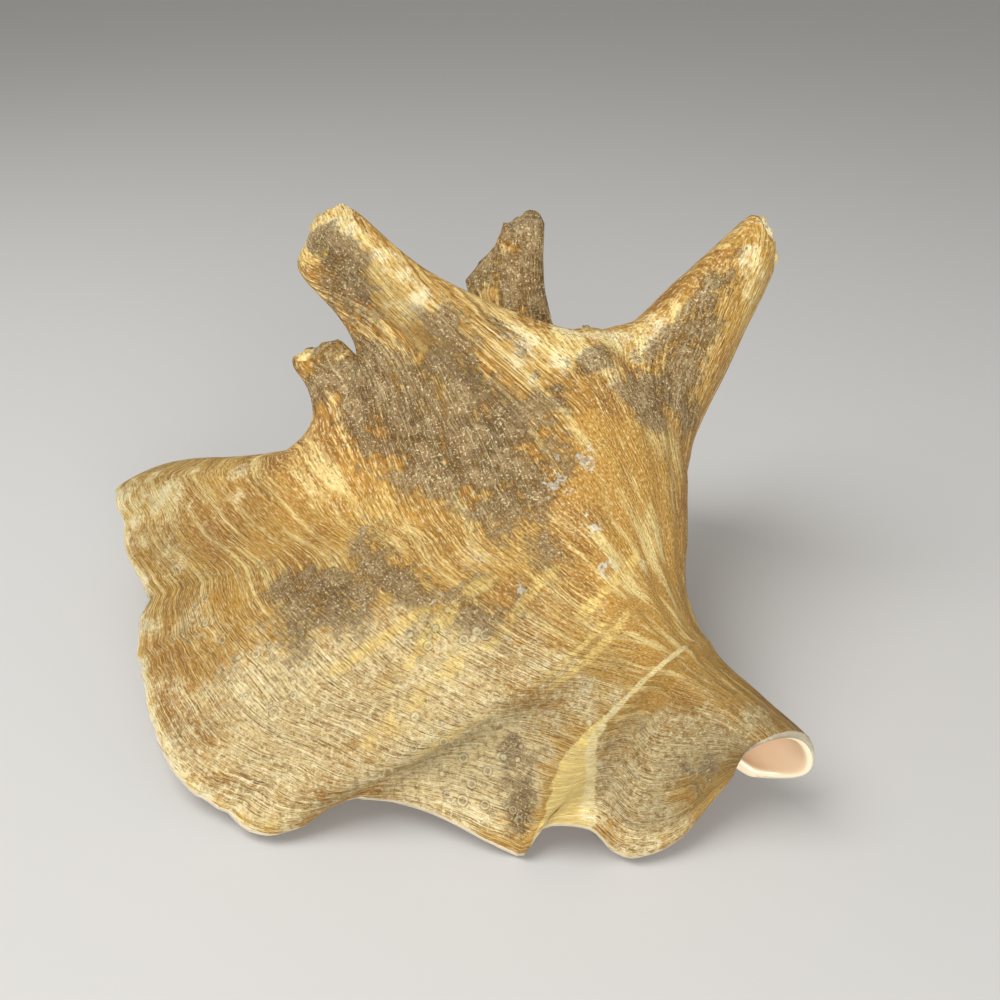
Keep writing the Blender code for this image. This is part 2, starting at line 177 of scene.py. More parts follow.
# Soft spots of each finish, in millimetres in the room: centre, radius, amount
CRUST = [    # grey-brown crust on the spines and in patches
    (30, -19, 86, 7, 0.8), (38, -26, 82, 4, 0.5), (29, -59, 52, 5, 0.3), (20, -53, 57, 4, 0.3),
    (14, -48, 59, 3, 0.4), (-4, 14, 126, 5, 0.5), (4, 10, 121, 7, 0.8), (7, 16, 127, 5, 0.6),
    (-3, 9, 116, 7, 0.8), (-12, 15, 123, 3, 0.4), (21, 19, 125, 2, 0.7), (26, 16, 122, 2, 0.7),
    (29, 13, 119, 2, 0.7), (33, 9, 116, 2, 0.8), (37, 6, 112, 2, 0.8), (42, 3, 109, 2, 0.7),
    (68, 7, 103, 6, 0.7), (75, 25, 108, 5, 0.6), (84, 33, 110, 5, 0.7), (105, 50, 124, 3, 0.6),
    (87, 11, 84, 4, 0.6), (28, -79, 30, 2, 0.8), (26, -83, 24, 2, 0.9), (27, -86, 20, 2, 0.7),
    (34, -89, 18, 2, 0.6), (-50, -31, 50, 7, 0.8), (-57, -17, 52, 5, 0.5), (-37, -43, 48, 8, 0.7),
    (-43, -47, 43, 6, 0.5), (-5, -38, 62, 6, 0.6), (38, -11, 96, 8, 0.7), (43, -18, 90, 6, 0.6),
    (14, -16, 84, 8, 0.6), (1, -11, 85, 8, 0.6), (55, -84, 33, 2, 0.4), (55, -88, 27, 2, 0.4),
    (72, -93, 17, 4, 0.4), (85, -86, 27, 4, 0.4), (63, -81, 38, 4, 0.3), (-63, -48, 35, 7, 0.3),
    (-100, -10, 32, 5, 0.3), (-75, -8, 47, 6, 0.3), (-82, -34, 33, 5, 0.3), (-35, 30, 149, 5, 1.0),
    (-30, 26, 146, 7, 1.0), (-27, 23, 137, 7, 1.0), (-24, 20, 129, 8, 1.0), (-21, 17, 120, 8, 1.0),
    (-25, 16, 107, 8, 1.0), (-19, 9, 103, 9, 1.0), (-10, 3, 100, 11, 1.0), (0, 2, 104, 12, 1.0),
    (11, -1, 105, 10, 1.0), (8, 9, 120, 6, 1.0), (13, 4, 113, 7, 1.0), (20, -6, 101, 11, 0.9),
    (25, -13, 92, 12, 0.9), (33, -20, 86, 10, 0.8), (4, -7, 91, 12, 0.8), (-16, 0, 90, 9, 0.7),
    (-27, 7, 92, 7, 0.8), (25, -26, 79, 9, 0.7), (-16, -25, 64, 7, 0.9), (-11, -37, 61, 6, 0.9),
    (-18, -42, 55, 8, 0.7), (-42, -28, 55, 7, 0.8), (-33, -36, 54, 8, 0.8), (-26, -43, 52, 7, 0.7),
    (-1, -48, 55, 7, 0.6), (106, 62, 135, 4, 0.9), (102, 53, 128, 5, 0.9), (97, 44, 120, 6, 1.0),
    (92, 36, 112, 7, 1.0), (87, 29, 105, 8, 1.0), (82, 21, 99, 9, 1.0), (76, 8, 97, 7, 1.0),
    (87, 20, 93, 7, 1.0), (92, 23, 86, 5, 0.9), (72, 14, 103, 6, 0.9), (57, 17, 114, 5, 0.8),
    (51, 11, 112, 4, 0.6), (43, 1, 107, 5, 0.7), (35, -3, 106, 3, 0.5), (81, -88, 21, 5, 0.6),
    (78, -88, 25, 4, 0.5), (93, -85, 30, 3, 0.4), (59, -84, 34, 4, 0.4), (25, -80, 27, 4, 0.6),
    (27, -86, 20, 2, 0.6), (42, -38, 73, 8, 0.4), (14, -48, 59, 9, 0.5), (28, -52, 58, 8, 0.5),
]
PALE = [    # dull crackled places
    (-94, 2, 41, 8, 0.6), (-95, -30, 29, 7, 0.5), (-86, -48, 23, 8, 0.7), (-77, 7, 54, 9, 0.5),
    (-71, 23, 65, 5, 0.6), (33, -89, 18, 3, 1.0), (34, -86, 22, 3, 1.0), (37, -82, 29, 3, 1.0),
    (41, -76, 36, 4, 1.0), (59, -71, 43, 3, 0.5), (29, -77, 34, 5, 1.0), (30, -82, 26, 5, 1.0),
    (27, -88, 18, 5, 0.9), (23, -82, 25, 7, 1.0), (50, -73, 41, 5, 0.7), (41, -51, 61, 7, 0.5),
    (29, -59, 52, 9, 0.8), (14, -37, 67, 6, 0.4), (65, -98, 7, 5, 0.9), (78, -94, 11, 5, 0.8),
    (-55, -61, 30, 19, 0.9), (-37, -80, 23, 18, 1.0), (-19, -69, 37, 18, 1.0), (2, -67, 43, 18, 1.0),
    (2, -80, 22, 18, 1.0), (22, -69, 45, 12, 0.9), (17, -87, 14, 9, 0.9), (-56, -85, 11, 12, 1.0),
    (-78, -64, 17, 13, 0.8), (57, -90, 23, 12, 1.0), (71, -82, 32, 12, 1.0), (85, -83, 33, 9, 1.0),
    (99, -82, 39, 7, 1.0), (65, -94, 14, 9, 1.0), (40, -69, 45, 10, 0.7), (-80, -29, 37, 10, 0.5),
    (-99, 18, 47, 9, 0.5), (-27, -52, 46, 14, 0.8), (-8, -52, 51, 9, 0.7),
]
GOLD = [    # smooth honey-coloured places
    (70, -74, 45, 5, 1.0), (65, -76, 41, 4, 0.8), (75, -70, 49, 4, 0.8), (-27, -1, 79, 7, 0.6),
    (-16, -9, 76, 7, 0.5), (-44, -7, 63, 7, 0.6), (-74, -25, 43, 5, 0.5), (-64, -41, 39, 4, 0.5),
    (-5, -62, 45, 3, 0.7), (-6, -57, 48, 2, 0.6), (66, -17, 88, 15, 0.9), (73, -33, 72, 15, 1.0),
    (67, -51, 62, 12, 0.9), (79, -60, 53, 9, 1.0), (55, -9, 98, 11, 0.8), (50, -23, 88, 8, 0.7),
    (67, -68, 48, 7, 0.8), (60, -43, 70, 9, 0.7), (-49, 6, 71, 12, 0.6), (-34, -5, 69, 12, 0.5),
    (-57, -9, 56, 12, 0.6), (-63, -27, 47, 10, 0.6), (-6, -21, 71, 8, 0.6), (42, -54, 59, 7, 0.5),
    (2, -60, 48, 4, 0.5),
]
CREAM_AND_PAINTED_LIGHT = [    # cream of the saddle, the lip and the spine tips; the spots on the left wing of the lip are partly painted light that brightens the wing
    (70, 26, 111, 7, 0.9), (47, 25, 119, 6, 1.0), (36, 12, 116, 6, 0.9), (-105, 27, 50, 14, 0.6),
    (-120, 30, 40, 11, 0.6), (-104, -9, 29, 9, 0.5), (-95, -30, 29, 8, 0.5), (-82, -69, 12, 8, 0.5),
    (57, 16, 114, 6, 1.0), (-119, 44, 49, 6, 0.6), (-115, 53, 49, 5, 0.5), (-27, 32, 153, 4, 0.9),
    (-21, 30, 150, 4, 0.9), (-14, 28, 145, 4, 0.9), (-8, 25, 140, 3, 0.8), (-3, 22, 135, 3, 0.8),
    (4, 19, 130, 3, 0.7), (11, 15, 126, 3, 0.6), (32, 14, 119, 7, 1.0), (45, 14, 116, 7, 1.0),
    (62, 27, 114, 6, 0.8), (78, 39, 114, 6, 0.9), (35, 4, 112, 5, 0.6), (91, 46, 121, 4, 0.6),
    (115, 62, 134, 5, 0.9), (117, 58, 128, 4, 0.8), (114, 53, 121, 4, 0.7), (-47, 33, 106, 3, 0.7),
    (-39, 30, 109, 3, 0.6), (-92, -24, 33, 4, 0.4), (-92, -43, 23, 4, 0.5), (-85, -62, 14, 4, 0.6),
    (-79, -5, 45, 5, 0.3), (-72, 11, 60, 6, 0.4), (30, -94, 6, 2, 1.0), (29, -95, 3, 2, 0.9),
    (-100, 25, 51, 8, 0.6), (-85, 17, 56, 9, 0.5), (-107, 16, 40, 4, 0.5), (-102, -1, 34, 4, 0.4),
    (-68, 10, 61, 5, 0.4), (-63, 14, 66, 4, 0.4), (-82, -52, 22, 5, 0.3), (-74, -77, 8, 4, 0.7),
    (-57, -89, 6, 4, 0.8), (-39, -90, 11, 3, 0.5), (30, 16, 121, 6, 0.8), (41, 15, 117, 6, 0.9),
    (56, 29, 117, 5, 0.7), (70, 35, 114, 6, 0.9), (82, 44, 118, 4, 0.9), (36, 7, 113, 6, 0.7),
    (22, 8, 118, 5, 0.6), (61, 11, 108, 5, 0.6), (-16, 23, 140, 7, 0.7), (-11, 18, 132, 7, 0.6),
    (-6, 15, 128, 6, 0.5), (-2, 19, 132, 5, 0.6), (111, 58, 132, 4, 0.6), (113, 54, 124, 4, 0.5),
    (107, 46, 116, 4, 0.5), (-110, 41, 53, 6, 0.6), (-116, 30, 44, 5, 0.6), (-92, 34, 59, 5, 0.6),
    (-78, -75, 9, 5, 0.6), (-46, -91, 7, 5, 0.8), (-66, -81, 8, 4, 0.6), (46, -10, 98, 3, 0.5),
    (68, -41, 69, 4, 0.6), (57, -12, 96, 4, 0.5),
]
WHITE = [    # chalky crumbs
    (40, -20, 88, 3, 1.0), (44, -24, 86, 3, 1.0), (51, -17, 92, 3, 1.0), (53, -31, 80, 3, 1.0),
    (58, -45, 69, 3, 1.0), (8, -45, 60, 3, 1.0), (30, -48, 62, 3, 1.0), (17, -38, 67, 2, 0.8),
    (41, -17, 91, 3, 1.0), (42, -23, 86, 4, 1.0), (50, -14, 94, 3, 0.9), (54, -20, 90, 3, 0.9),
    (52, -33, 79, 3, 0.9), (54, -35, 77, 3, 0.8), (57, -45, 69, 3, 0.9), (65, -38, 73, 2, 0.4),
    (-42, 4, 75, 4, 0.6), (99, 46, 121, 5, 0.5), (105, 55, 129, 5, 0.5), (29, -47, 62, 3, 0.6),
    (4, -45, 59, 3, 0.6), (-21, -18, 66, 3, 0.5),
]


def smooth_curve(x, y, q):
    """Smooth curve through the points (x, y), read at q; y may have several columns."""
    y = np.asarray(y, float)
    wide = (-1,) + (1,) * (y.ndim - 1)
    gap = np.diff(x).astype(float)
    slope = np.diff(y, axis=0) / gap.reshape(wide)
    tangent = np.zeros_like(y)
    tangent[0] = slope[0]
    tangent[-1] = slope[-1]
    share = (gap[:-1] / (gap[:-1] + gap[1:])).reshape(wide)
    tangent[1:-1] = slope[:-1] * (1 - share) + slope[1:] * share
    i = np.clip(np.searchsorted(x, q, side='right') - 1, 0, len(x) - 2)
    u = ((q - x[i]) / gap[i])
    u = u.reshape(u.shape + (1,) * (y.ndim - 1))
    g = gap[i].reshape(u.shape)
    return ((2 * u**3 - 3 * u**2 + 1) * y[i] + (u**3 - 2 * u**2 + u) * g * tangent[i]
            + (3 * u**2 - 2 * u**3) * y[i + 1] + (u**3 - u**2) * g * tangent[i + 1])


def ease(a, b, x):
    """Soft step from 0 at a to 1 at b."""
    t = np.clip((x - a) / (b - a), 0, 1)
    return t * t * (3 - 2 * t)


def strip(place, middle, half):
    """Soft strip: 1 at its middle, 0.37 at its half width."""
    return np.exp(-((place - middle) / half) ** 2)


SECTION_ACROSS = np.r_[0, np.cumsum(np.hypot(*np.diff(SECTION, axis=0).T))]
SECTION_ACROSS = SECTION_SHARE * SECTION_ACROSS / SECTION_ACROSS[-1]
SHOULDER_ACROSS = SECTION_ACROSS[SHOULDER_POINT]


def coil(turn, across):
    """Point of the plain coil, before the lip flares: the section, then the neck down to the canal."""
    radius = SHOULDER_RADIUS * GROWTH_PER_TURN ** (turn / 360)
    section = smooth_curve(SECTION_ACROSS, SECTION, np.minimum(across, SECTION_SHARE))
    r = radius * section[..., 0]
    h = APEX_HEIGHT - radius + radius * section[..., 1]
    spout = CANAL_SPOUT[2] * strip(turn, *CANAL_SPOUT[:2])
    end_h = PILLAR_RISE * (1 - ease(*PILLAR_TURNS, turn)) - spout
    end_r = CANAL_RADIUS * CANAL_GROWTH ** ((turn - TURN_LIP) / 360)
    v = np.clip((across - SECTION_SHARE) / (1 - SECTION_SHARE), 0, 1)
    length = np.hypot(end_r - r, end_h - h)
    lead = (SECTION[-1] - SECTION[-2]) / np.hypot(*(SECTION[-1] - SECTION[-2]))
    start, stay = 2 * v**3 - 3 * v**2 + 1, 3 * v**2 - 2 * v**3
    bend_in, bend_out = v**3 - 2 * v**2 + v, v**3 - v**2
    r = start * r + stay * end_r + bend_in * length * lead[0]
    h = start * h + stay * end_h + (bend_in * lead[1] - bend_out) * length
    a = np.radians(turn)
    line = smooth_curve(NECK_LINE[:, 0], NECK_LINE[:, 1:], np.clip(h, -12, 110))
    return np.stack([r * np.sin(a) + line[..., 0], r * np.cos(a) + line[..., 1], h], -1)


def flare_turn(across):
    """Turn at which the lip leaves the coil."""
    return TURN_FLARE_BODY + (TURN_FLARE_SHOULDER - TURN_FLARE_BODY) * (1 - ease(0.08, 0.42, across))


def lip(turn, across):
    """Point of the flare: a cubic from the coil to the lip edge."""
    start = flare_turn(across)
    step = 0.01
    root = coil(start, across)
    leave = (coil(start + step, across) - root) / step * (TURN_LIP - start)[..., None]
    edge = smooth_curve(LIP_EDGE[:, 0], LIP_EDGE[:, 1:], across)
    even = np.delete(LIP_EDGE, NOTCH_ROWS, axis=0)
    even = smooth_curve(even[:, 0], even[:, 1:], across)
    edge = even + (edge - even) * ease(*NOTCH_TURNS, turn)[..., None]
    chord = edge - root
    reach = np.linalg.norm(chord, axis=-1, keepdims=True)
    speed = np.linalg.norm(leave, axis=-1, keepdims=True)
    leave = leave * np.clip(1.15 * reach / np.maximum(speed, 1e-6), 0.4, 3.0)
    arrive = chord + np.array([0, -0.25, 0]) * reach
    u = ((turn - start) / (TURN_LIP - start))[..., None]
    return ((2 * u**3 - 3 * u**2 + 1) * root + (u**3 - 2 * u**2 + u) * leave
            + (3 * u**2 - 2 * u**3) * edge + (u**3 - u**2) * arrive)


def smooth_skin(turn, across):
    """Point of the outer surface without its spines."""
    start = flare_turn(across)
    point = coil(np.minimum(turn, start), across)
    flared = turn > start
    if flared.any():
        point[flared] = lip(turn[flared], across[flared])
    return point


def fold(turn, across):
    """Height of the folds and swellings over the smooth skin."""
    height = SWELL_HEIGHT * np.sin(2 * np.pi * turn / SWELL_TURNS) * ease(-0.02, 0.15, across)
    height = height * (1 - ease(0.85, 1.0, across))
    for middle, half, tall, begin, end in FOLDS:
        height = height + tall * ease(begin, end, turn) * strip(across, middle, half)
    groove = np.interp(turn, GROOVE[:, 0], GROOVE[:, 1])
    height = height - GROOVE_DEPTH * ease(70, 88, turn) * strip(across, groove, GROOVE_HALF)
    away = np.hypot((turn - BLISTER[0]) * 0.85, (across - BLISTER[1]) * 240) / BLISTER[2]
    return height + BLISTER[3] * np.exp(-away ** 2)


def outward(turn, across):
    """Unit direction out of the smooth skin."""
    along = smooth_skin(turn + 0.4, across) - smooth_skin(turn - 0.4, across)
    over = smooth_skin(turn, np.clip(across + 0.002, 0, 1)) - smooth_skin(turn, np.clip(across - 0.002, 0, 1))
    n = np.cross(along, over)
    return n / np.maximum(np.linalg.norm(n, axis=-1, keepdims=True), 1e-9)


def hump(turn, across):
    """Shift of the skin by the hump at the flank of the biggest spine."""
    at, row, half_turn, half_row, shift = HUMP
    away = ((turn - at) / half_turn) ** 2 + ((across - row) / half_row) ** 2
    return np.exp(-away)[..., None] * np.array(shift)


def one_point(turn, across):
    return smooth_skin(np.array([float(turn)]), np.array([float(across)]))[0]


def all_spines():
    """Every spine as turn, radius at the foot, waist and tip, and its tip."""
    spines = list(TALL_SPINES)
    for turn, foot, tip, reach, rise in RULE_SPINES:
        radius = SHOULDER_RADIUS * GROWTH_PER_TURN ** (turn / 360)
        a = np.radians(turn)
        top = (reach * radius * np.sin(a), reach * radius * np.cos(a),
               APEX_HEIGHT - radius + rise * radius)
        spines.append((turn, foot, WAIST * foot, tip, top))
    return spines


def skin(turn, across):
    """Outer surface with its spines drawn out of the shoulder: point, outward direction and spine height."""
    turn = turn.copy()
    across = across.copy()
    lift = np.zeros(turn.shape + (3,))
    taken = np.zeros(turn.shape)
    for at, foot, waist, tip, top in all_spines():
        centre = one_point(at, SHOULDER_ACROSS)
        along = np.linalg.norm(one_point(at + 0.5, SHOULDER_ACROSS) - one_point(at - 0.5, SHOULDER_ACROSS))
        over = np.linalg.norm(one_point(at, SHOULDER_ACROSS + 0.005)
                              - one_point(at, SHOULDER_ACROSS - 0.005)) / 0.01
        spread = SPINE_SPREAD * foot
        over = np.where(across < SHOULDER_ACROSS, max(over, spread / SHOULDER_ACROSS), over)
        away = np.hypot((turn - at) * along, (across - SHOULDER_ACROSS) * over)
        near = away < spread
        if not near.any():
            continue
        x = np.clip(away / spread, 0, 1)
        ring = np.array([0, 0.86 * tip, tip, waist, 0.92 * foot, spread])
        kept = smooth_curve(SPINE_STATIONS, ring, x)
        rise = smooth_curve(SPINE_STATIONS, SPINE_RISE, x) * (1 - taken)
        taken = np.where(near, np.maximum(taken, rise), taken)
        gather = np.where(away > 1e-6, kept / np.maximum(away, 1e-6), 0.86 * tip / (0.2 * spread))
        gather = 1 + (gather - 1) * (1 - taken + rise)
        turn = np.where(near, at + (turn - at) * gather, turn)
        across = np.where(near, SHOULDER_ACROSS + (across - SHOULDER_ACROSS) * gather, across)
        lift += np.where(near[..., None], rise[..., None] * (np.array(top, float) - centre), 0)
    out = outward(turn, across)
    bulge = hump(turn, across) + out * fold(turn, across)[..., None]
    return smooth_skin(turn, across) + lift + bulge, out, taken


def room_matrix():
    """From the shell frame in millimetres to the room in metres."""
    axis = np.array(AXIS_ROOM) / np.linalg.norm(AXIS_ROOM)
    back = np.array(BACK_ROOM) - np.dot(BACK_ROOM, axis) * axis
    back = back / np.linalg.norm(back)
    side = np.cross(back, axis)
    m = np.eye(4)
    m[:3, 0] = side * 0.001
    m[:3, 1] = back * 0.001
    m[:3, 2] = axis * 0.001
    m[:3, 3] = CENTRE_ROOM
    return Matrix(m.tolist())


# Growth lines, finishes and fine relief
def lattice(seed):
    return np.random.default_rng(seed).random(65536) * 2 - 1


def grain(points, size, seed):
    """Smooth random field between -1 and 1, with lumps of about the given size."""
    table = lattice(seed)
    q = points / size + 1000.0
    i = np.floor(q).astype(np.int64)
    f = q - i
    f = f * f * (3 - 2 * f)
    total = 0
    for corner in range(2 ** points.shape[-1]):
        bits = [(corner >> k) & 1 for k in range(points.shape[-1])]
        weight = 1
        key = 0
        for k, bit in enumerate(bits):
            weight = weight * (f[..., k] if bit else 1 - f[..., k])
            key = key + (i[..., k] + bit) * (73856093, 19349663, 83492791)[k]
        total = total + weight * table[(key ^ (key >> 13)) & 65535]
    return total


def grains(points, fields):
    """Sum of random fields: the size of the lumps, the height and the seed of each."""
    return sum(height * grain(points, size, seed) for size, height, seed in fields)


GROWTH_TURNS = np.linspace(TURN_START, TURN_LIP, 1200)
ACROSS_LENGTH = 255.0       # length of the skin from the suture to the canal tip, millimetres
UV_UNIT = 100               # millimetres of skin to one unit of the UV map
# Lean of the growth lines in millimetres: factors of the first three powers of the place across
LEAN_BODY = np.array([82.0, 105.0, -123.0])
LEAN_FLARE = np.array([64.0, -260.0, 81.0])


def growth_table():
    """Length grown at each turn, in millimetres, measured along the middle of the body."""
    total = np.zeros(len(GROWTH_TURNS))
    for across in (0.30, 0.42, 0.54):
        line = smooth_skin(GROWTH_TURNS, np.full(len(GROWTH_TURNS), across))
        total += np.r_[0, np.cumsum(np.linalg.norm(np.diff(line, axis=0), axis=1))] / 3
    return total - total[-1]


GROWTH_LENGTH = growth_table()


def growth_mm(turn):
    return np.interp(turn, GROWTH_TURNS, GROWTH_LENGTH)


def growth_line(turn, across):
    """Growth in millimetres with the lean that the growth lines have on the last whorl and the flare."""
    side = np.clip(across, 0.2, 0.92) - 0.5
    powers = np.stack([side, side ** 2, side ** 3], -1)
    lean = powers @ LEAN_BODY + powers @ LEAN_FLARE * ease(20, 95, turn)
    return growth_mm(turn) + lean * ease(-80, 25, turn) * (1 - 0.5 * ease(95, 112, turn))


def patches(room_mm, spots):
    """How much of the listed soft spots lies at each point."""
    left = np.ones(len(room_mm))
    for x, y, z, radius, amount in spots:
        away = np.linalg.norm(room_mm - (x, y, z), axis=1) / radius
        left *= 1 - amount * np.exp(-away ** 2.5 * 0.7)
    return 1 - left


def to_room(points):
    m = np.array(room_matrix())
    return (points @ m[:3, :3].T + m[:3, 3]) * 1000


def surface_masks(points, out, turn, across, spine, inside):
    """Values from 0 to 1 that the material mixes its finishes by."""
    room = to_room(points)
    lump = grains(room, CLOUDS)
    turned = out @ np.array(room_matrix())[:3, :3].T * 1000
    behind = 1 - ease(-0.15, 0.1, turned @ FRONT_ROOM)
    crust = patches(room, CRUST)
    crust = np.maximum(crust, ease(0.05, 0.35, lump) * behind * 0.8)
    crust = np.maximum(crust, 0.85 * ease(*SPINE_CRUST, spine) * (turn < -95))
    crust = np.maximum(crust, 0.75 * ease(*SPINE_CRUST, spine) * (turn > 58))
    pale = np.maximum(patches(room, PALE), ease(-0.05, 0.3, -lump) * behind * 0.7)
    bars = np.zeros(len(turn))
    for start, start_row, end, end_row, half in BARS:
        at = np.clip(turn, start, end)
        row = start_row + (end_row - start_row) * (at - start) / (end - start)
        bars = np.maximum(bars, np.exp(-((turn - at) / 4) ** 2 - ((across - row) / half) ** 2))
    bars = bars * np.clip(0.9 + 0.8 * grain(room, 6, 13), 0, 1)
    gold = patches(room, GOLD)
    ridge = np.interp(turn, RIDGE[:, 0], RIDGE[:, 1])
    band = strip(across, ridge, RIDGE_HALF) * ease(-15, 10, turn)
    # the cream spots on the left wing of the lip are partly painted light, brightening the wing
    cream = patches(room, CREAM_AND_PAINTED_LIGHT) * 0.9
    near = np.interp(turn, PANEL[:, 0], PANEL[:, 1])
    panel = ease(near - 0.003, near + 0.003, across) * (1 - ease(ridge - 0.002, ridge + 0.004, across))
    panel = panel * ease(50, 62, turn)
    gold = gold * (1 - ease(48, 60, turn) * ease(0.66, 0.70, across))
    amber_side = strip(across - ridge, *AMBER_SIDE) * ease(0, 20, turn)
    gold = np.maximum(gold, amber_side * (1 - ease(48, 62, turn)))
    groove = np.interp(turn, GROOVE[:, 0], GROOVE[:, 1])
    crust_side = strip(across - groove, *CRUST_SIDE) * ease(66, 84, turn) * (1 - 0.5 * ease(100, 106, turn))
    crust = np.maximum(crust, 0.8 * crust_side) * (1 - panel)
    pale = pale * (1 - panel)
    left = 1 - ease(0.56, 0.66, across)
    ends = (1 - ease(1.5, 11 + 5 * lump, edge_distance(turn, across))) * left
    cream = np.maximum(cream, 0.75 * ends)
    cream = np.maximum(cream, ease(*SPINE_TIP, spine))
    white = patches(room, WHITE) * np.clip(0.6 + 1.5 * grain(room, 2.2, 14), 0, 1)
    glaze = np.where(inside, 1.0, (1 - ease(-205, -180, turn + 6 * lump)) * ease(0.24, 0.34, across))
    glaze = np.where(~inside & (turn < TURN_OPEN + 2), 0, glaze)
    deep = np.where(inside, (1 - ease(52, 104, turn + 5 * lump)) * (1 - 0.8 * ease(0.84, 0.97, across)), 0.75)
    return {"crust": crust, "pale": pale, "gold": gold, "cream": cream, "white": white, "glaze": glaze,
            "deep": deep, "panel": panel, "band": band * (1 - 0.5 * ease(104, 109, turn)), "bars": bars}


def turn_speed(turn, across):
    """Millimetres of skin in one degree of growth."""
    return np.linalg.norm(smooth_skin(turn + 0.05, across) - smooth_skin(turn - 0.05, across), axis=1) / 0.1


def edge_distance(turn, across):
    """Distance from the lip edge in millimetres, along the growth."""
    return (TURN_LIP - turn) * turn_speed(turn, across)


def relief(points, turn, across, spine, masks):
    """Height of the growth lamellae, crust and worn places, in millimetres."""
    wander = growth_line(turn, across) + grains(points, WANDER)
    band = np.stack([wander, across * ACROSS_LENGTH * 0.10], -1)
    crust = masks["crust"]
    out = grains(band, LAMELLAE) * (1 - 0.6 * crust) + grains(points, SWELLS)
    out = out + grains(points, LUMPS) * (LUMPS_CLEAN + crust) + CRUMB_HEIGHT * masks["white"]
    out = out + (grains(points, CHIPS) - CHIP_LOSS) * ease(*SPINE_TIP, spine)
    out = out + grains(points, FUZZ) * ease(0.05, 0.3, spine) * crust
    return out * (1 - masks["glaze"])


# Meshes
def read_points(ob):
    flat = np.empty(len(ob.data.vertices) * 3)
    ob.data.vertices.foreach_get('co', flat)
    return flat.reshape(-1, 3)


def set_points(ob, points):
    ob.data.vertices.foreach_set('co', points.ravel())
    ob.data.update()


def spaced(start, end, count, density):
    """Places between start and end, closer together where the density is high."""
    fine = np.linspace(start, end, 6001)
    total = np.r_[0, np.cumsum(density((fine[1:] + fine[:-1]) / 2))]
    return np.interp(np.linspace(0, total[-1], count), total, fine)


def column_density(turn):
    value = np.gradient(growth_mm(turn), turn)
    for at, foot, waist, tip, top in all_spines():
        value = value + 0.7 * strip(turn, at, 0.55 * foot) * (foot > 10)
    return value


def row_density(across):
    return 1 + 0.9 * strip(across, SHOULDER_ACROSS, 0.075)


def flat_grid(name, columns, rows):
    """A flat grid with so many points each way, and the column and row of each point."""
    bpy.ops.object.select_all(action='DESELECT')
    bpy.ops.mesh.primitive_grid_add(x_subdivisions=columns - 1, y_subdivisions=rows - 1, size=1)
    ob = bpy.context.object
    ob.name = name
    place = read_points(ob) + 0.5
    column = np.rint(place[:, 0] * (columns - 1)).astype(int)
    row = np.rint(place[:, 1] * (rows - 1)).astype(int)
    return ob, column, row


# Columns and rows close to the edges, that make the rim round
RIM_TURNS = np.array([1.3, 0.75, 0.35, 0.1, 0.0])
RIM_ROWS = np.array([0.014, 0.008, 0.004, 0.0015, 0.0])


def wall_thickness(turn):
    radius = SHOULDER_RADIUS * GROWTH_PER_TURN ** (turn / 360)
    wall = bpy.context.scene.conch_sizes.wall * 1000
    edge = bpy.context.scene.conch_sizes.lip_wall * 1000
    return wall * np.minimum(1, radius / 40) + (edge - wall) * ease(80, 110, turn)


def rim_sink(turn, across, half):
    """How far each face of the wall sinks towards its middle where the wall ends, for a round rim."""
    def round_off(distance):
        t = np.clip(1 - distance / half, 0, 1)
        return half * (1 - np.sqrt(1 - (0.96 * t) ** 2))

    row_speed = np.linalg.norm(smooth_skin(turn, np.clip(across + 0.001, 0, 1))
                               - smooth_skin(turn, np.clip(across - 0.001, 0, 1)), axis=1) / 0.002
    sink = round_off(edge_distance(turn, across))
    sink = np.maximum(sink, round_off((1 - across) * row_speed))
    return np.maximum(sink, round_off(across * row_speed))


def edge_chips(turn, across):
    """How many degrees of growth the ragged lip edge has lost."""
    place = np.stack([across * 420, across * 0], -1)
    loss = np.clip(grains(place, EDGE_BITES) + 0.2, 0, 2.5)
    loss = loss + 0.5 * (grain(place, 3.5, 33) + 1)
    return loss * ease(84, 110, turn) * ease(0.02, 0.1, across) * (1 - ease(0.62, 0.72, across))


def wall_piece():
    """The coiled wall from its rough outside round the lip edge to its glazed inside, one closed skin."""
    outer = spaced(TURN_OPEN, TURN_LIP - 2.0, OUTER_COLUMNS, column_density)
    outer = np.r_[outer, TURN_LIP - RIM_TURNS]
    inner_at = np.r_[np.arange(0, len(outer) - 6, INNER_STRIDE), len(outer) - 6 + np.arange(6)][::-1]
    turns = np.r_[outer, outer[inner_at]]
    across_rows = np.r_[RIM_ROWS[::-1], spaced(0.02, 0.98, ACROSS_ROWS, row_density), 1 - RIM_ROWS]
    ob, column, row = flat_grid('conch_shell', len(turns), len(across_rows))
    zip_edges(ob, column, row, len(outer), inner_at, len(across_rows) - 1)
    turn, across = turns[column], across_rows[row]
    inside = column >= len(outer)
    used = turn - edge_chips(turn, across)
    point, out, spine = skin(used, across)
    smooth = smooth_skin(used, across)
    plain_out = outward(used, across)
    follow = plain_out * fold(used, across)[:, None] * INSIDE_FOLLOWS
    point[inside] = (smooth + follow)[inside]
    out[inside] = plain_out[inside]
    spine[inside] = 0
    masks = surface_masks(point, out, turn, across, spine, inside)
    masks["rim"] = 1 - ease(0.9, 2.6 - 1.2 * ease(0.66, 0.74, across), edge_distance(turn, across))
    masks["rim"] = np.maximum(masks["rim"], 1 - ease(0.4, 1.4, (1 - across) * 150))
    height = np.where(inside, 0, relief(point, used, across, spine, masks))
    wall = wall_thickness(turn)
    middle, half, lost = NOTCH_THIN
    wall = wall * (1 - lost * strip(across, middle, half) * ease(62, 96, turn))
    sink = rim_sink(turn, across, wall / 2)
    height = np.where(inside, sink - wall, height * (1 - sink / wall * 1.6) - sink)
    set_points(ob, point + out * height[:, None])
    return ob, turn, across, masks


